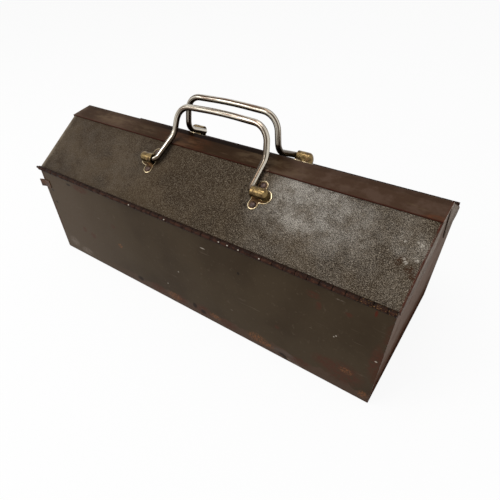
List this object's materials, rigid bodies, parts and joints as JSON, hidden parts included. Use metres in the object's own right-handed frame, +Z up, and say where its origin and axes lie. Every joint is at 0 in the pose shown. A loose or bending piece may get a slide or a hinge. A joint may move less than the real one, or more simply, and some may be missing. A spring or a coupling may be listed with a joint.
{
  "type": "toolbox",
  "caption": "Long steel toolbox with a low ridged roof: hinged lids that meet at the ridge, wire bails in brass saddles, and trays that swing out level as the lids open.",
  "frame": {"origin": "centre of the floor face that the box stands on", "axes": "+X along the box to the right, -Y out of the front wall, +Z up"},
  "size_m": [0.5161, 0.2078, 0.2418],
  "materials": {
    "body_paint": "smooth semi-gloss brown-grey enamel with rust at the edges",
    "lid_paint": "wrinkle-finish olive-brown enamel, worn smooth and brown on the ridge strip",
    "tray_paint": "smooth satin brown-grey enamel",
    "worn_steel": "rusty brown steel",
    "link_steel": "dull plated steel",
    "plated_wire": "bright plating, streaked brown on the grips",
    "stamped_brass": "tarnished brass with bright raised rims",
    "bracket_rivet": "dark oxidised steel"
  },
  "bodies": {
    "body": {"arm_pivot_studs": "link_steel", "arm_stop_studs": "link_steel", "body_shell": "body_paint", "front_hinge_body_leaf": "worn_steel", "front_hinge_pin": "worn_steel", "left_corner_lug": "worn_steel", "left_end_panel": "body_paint", "rear_hinge_body_leaf": "worn_steel", "rear_hinge_pin": "worn_steel", "right_end_panel": "body_paint"},
    "rear_lid": {"rear_bracket_rivets": "bracket_rivet", "rear_hinge_lid_leaf": "worn_steel", "rear_left_bracket": "stamped_brass", "rear_left_lid_arm": "link_steel", "rear_lid_panel": "lid_paint", "rear_right_bracket": "stamped_brass", "rear_right_lid_arm": "link_steel", "rear_tray_pivot_rivets": "link_steel"},
    "front_lid": {"front_bracket_rivets": "bracket_rivet", "front_hinge_lid_leaf": "worn_steel", "front_left_bracket": "stamped_brass", "front_left_lid_arm": "link_steel", "front_lid_panel": "lid_paint", "front_right_bracket": "stamped_brass", "front_right_lid_arm": "link_steel", "front_tray_pivot_rivets": "link_steel"},
    "rear_tray": {"rear_tray": "tray_paint"},
    "front_tray": {"front_tray": "tray_paint"},
    "front_left_arm": {"front_left_swing_arm": "link_steel", "front_left_swing_arm_rivet": "link_steel"},
    "front_right_arm": {"front_right_swing_arm": "link_steel", "front_right_swing_arm_rivet": "link_steel"},
    "rear_left_arm": {"rear_left_swing_arm": "link_steel", "rear_left_swing_arm_rivet": "link_steel"},
    "rear_right_arm": {"rear_right_swing_arm": "link_steel", "rear_right_swing_arm_rivet": "link_steel"},
    "front_bail": {"front_bail": "plated_wire"},
    "rear_bail": {"rear_bail": "plated_wire"}
  },
  "joints": [
    {"name": "rear_lid_hinge", "type": "hinge", "parent": "body", "child": "rear_lid", "pos_m": [0, 0.1009, 0.1417], "axis": [-1, 0, 0], "range_deg": [0, 120]},
    {"name": "front_lid_hinge", "type": "hinge", "parent": "body", "child": "front_lid", "pos_m": [0, -0.1009, 0.1417], "axis": [1, 0, 0], "range_deg": [0, 120]},
    {"name": "rear_tray_pivot", "type": "hinge", "parent": "rear_lid", "child": "rear_tray", "pos_m": [0, 0.0609, 0.1117], "axis": [1, 0, 0], "range_deg": [0, 120]},
    {"name": "front_tray_pivot", "type": "hinge", "parent": "front_lid", "child": "front_tray", "pos_m": [0, -0.0609, 0.1117], "axis": [-1, 0, 0], "range_deg": [0, 120]},
    {"name": "front_left_arm_pivot", "type": "hinge", "parent": "body", "child": "front_left_arm", "pos_m": [-0.24725, -0.0877, 0.1147], "axis": [1, 0, 0], "range_deg": [0, 120]},
    {"name": "front_right_arm_pivot", "type": "hinge", "parent": "body", "child": "front_right_arm", "pos_m": [0.24725, -0.0877, 0.1147], "axis": [1, 0, 0], "range_deg": [0, 120]},
    {"name": "rear_left_arm_pivot", "type": "hinge", "parent": "body", "child": "rear_left_arm", "pos_m": [-0.24725, 0.0877, 0.1147], "axis": [-1, 0, 0], "range_deg": [0, 120]},
    {"name": "rear_right_arm_pivot", "type": "hinge", "parent": "body", "child": "rear_right_arm", "pos_m": [0.24725, 0.0877, 0.1147], "axis": [-1, 0, 0], "range_deg": [0, 120]},
    {"name": "front_bail_pivot", "type": "hinge", "parent": "front_lid", "child": "front_bail", "pos_m": [0.002, -0.04977, 0.17944], "axis": [1, 0, 0], "range_deg": [0, 140]},
    {"name": "rear_bail_pivot", "type": "hinge", "parent": "rear_lid", "child": "rear_bail", "pos_m": [0.002, 0.04905, 0.17844], "axis": [-1, 0, 0], "range_deg": [0, 140]}
  ],
  "couplings": [
    {"joint": "front_lid_hinge", "follows": "rear_lid_hinge", "ratio": 1},
    {"joint": "rear_tray_pivot", "follows": "rear_lid_hinge", "ratio": 1},
    {"joint": "front_tray_pivot", "follows": "rear_lid_hinge", "ratio": 1},
    {"joint": "front_left_arm_pivot", "follows": "rear_lid_hinge", "ratio": 1},
    {"joint": "front_right_arm_pivot", "follows": "rear_lid_hinge", "ratio": 1},
    {"joint": "rear_left_arm_pivot", "follows": "rear_lid_hinge", "ratio": 1},
    {"joint": "rear_right_arm_pivot", "follows": "rear_lid_hinge", "ratio": 1}
  ]
}
